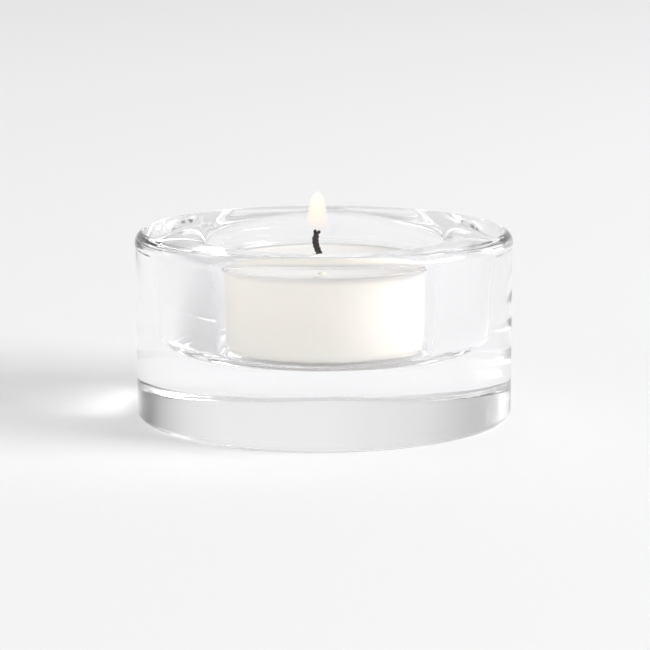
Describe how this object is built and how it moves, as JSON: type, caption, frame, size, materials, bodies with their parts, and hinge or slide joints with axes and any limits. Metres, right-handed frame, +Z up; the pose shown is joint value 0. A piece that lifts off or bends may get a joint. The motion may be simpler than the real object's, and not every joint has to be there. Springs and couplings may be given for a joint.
{
  "type": "tealight holder",
  "caption": "Thick clear glass tealight holder with a round pocket, a softly rounded rim and a tealight in a clear cup that lifts out.",
  "frame": {"origin": "centre of the holder's flat foot, on the surface it stands on", "axes": "+Z up along the pocket's axis; -Y faces the viewer, and the wick bends towards -X"},
  "size_m": [0.0708, 0.0708, 0.0349],
  "materials": {
    "clear_glass": "fire-polished clear glass",
    "clear_cup": "clear moulded plastic",
    "wax": "translucent white wax, satin",
    "sustainer_steel": "pressed tinned sheet",
    "wick_cotton": "braided cotton, charred above the wax"
  },
  "bodies": {
    "holder": {"glass_holder": "clear_glass"},
    "tealight": {"tealight_cup": "clear_cup", "wax_fill": "wax", "wick_sustainer": "sustainer_steel", "wick": "wick_cotton"}
  },
  "joints": [
    {"name": "tealight_lift", "type": "slide", "parent": "holder", "child": "tealight", "axis": [0, 0, 1], "range_m": [0, 0.03]}
  ]
}
